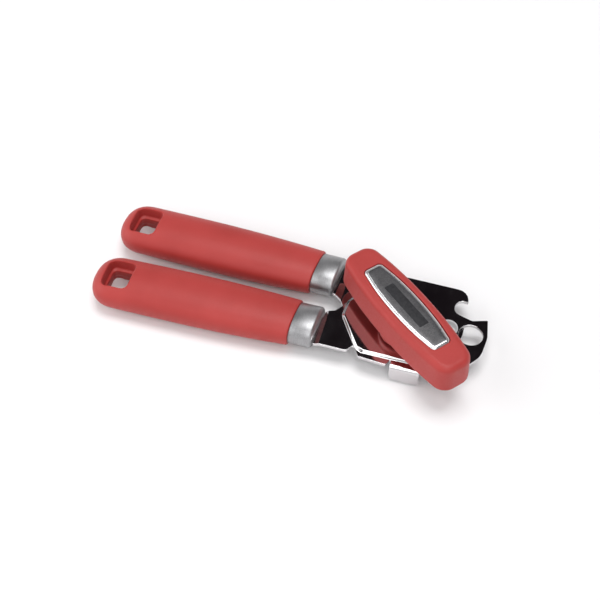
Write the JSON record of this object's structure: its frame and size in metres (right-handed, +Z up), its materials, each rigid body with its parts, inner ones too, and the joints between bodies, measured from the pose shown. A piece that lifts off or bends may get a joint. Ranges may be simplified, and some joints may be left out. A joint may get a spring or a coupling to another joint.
{
  "type": "can opener",
  "caption": "Hand-held can opener with red grips on riveted steel levers, a turning knob with a bright-rimmed inlay, and geared feed and cutting wheels under a bottle-opener head.",
  "frame": {"origin": "centre of the closed opener's bounding box in plan, on the table that it lies on", "axes": "+X along the opener from the grips' ends to the bottle opener, +Y from the lower lever's grip to the upper lever's, +Z up from the table to the knob's face"},
  "size_m": [0.2105, 0.0792, 0.0356],
  "materials": {
    "soft_red": "satin soft-touch plastic, moulded",
    "polished_steel": "mirror polished and plated steel sheet",
    "brushed_steel": "satin, brushed round the cap",
    "bright_chrome": "bright",
    "zinc_plate": "dull zinc plate",
    "hardened_steel": "ground, grey",
    "sintered_bronze": "dull, oiled",
    "black_nylon": "matt, moulded",
    "textured_grey": "finely textured, metallic grey",
    "black_enamel": "smooth, plain"
  },
  "bodies": {
    "lower_lever": {"front_plate": "polished_steel", "lower_grip": "soft_red", "lower_core": "black_nylon", "lower_ferrule": "brushed_steel", "lower_tang_pin_a": "zinc_plate", "lower_tang_pin_b": "zinc_plate", "pivot_rivet": "bright_chrome", "pivot_washer": "zinc_plate", "shaft_bushing": "sintered_bronze"},
    "upper_lever": {"back_plate": "polished_steel", "upper_grip": "soft_red", "upper_core": "black_nylon", "upper_ferrule": "brushed_steel", "upper_tang_pin_a": "zinc_plate", "upper_tang_pin_b": "zinc_plate", "cutter_stud": "zinc_plate"},
    "cutter": {"cutter_wheel": "hardened_steel", "cutter_gear": "hardened_steel"},
    "knob": {"knob_grip": "soft_red", "knob_bezel": "bright_chrome", "knob_badge": "textured_grey", "knob_label": "black_enamel", "drive_shaft": "zinc_plate", "drive_gear": "hardened_steel", "feed_wheel": "hardened_steel", "shaft_nut": "zinc_plate", "thrust_washer": "zinc_plate"}
  },
  "joints": [
    {"name": "handle_pivot", "type": "hinge", "parent": "lower_lever", "child": "upper_lever", "pos_m": [0.0845, 0.00395, 0], "axis": [0, 0, -1], "range_deg": [0, 55]},
    {"name": "knob_turn", "type": "hinge", "parent": "lower_lever", "child": "knob", "pos_m": [0.0625, -0.0058, 0], "axis": [0, 0, 1], "continuous": true},
    {"name": "cutter_spin", "type": "hinge", "parent": "upper_lever", "child": "cutter", "pos_m": [0.0625, 0.0137, 0], "axis": [0, 0, 1], "continuous": true}
  ],
  "couplings": [
    {"joint": "cutter_spin", "follows": "knob_turn", "ratio": -1}
  ]
}
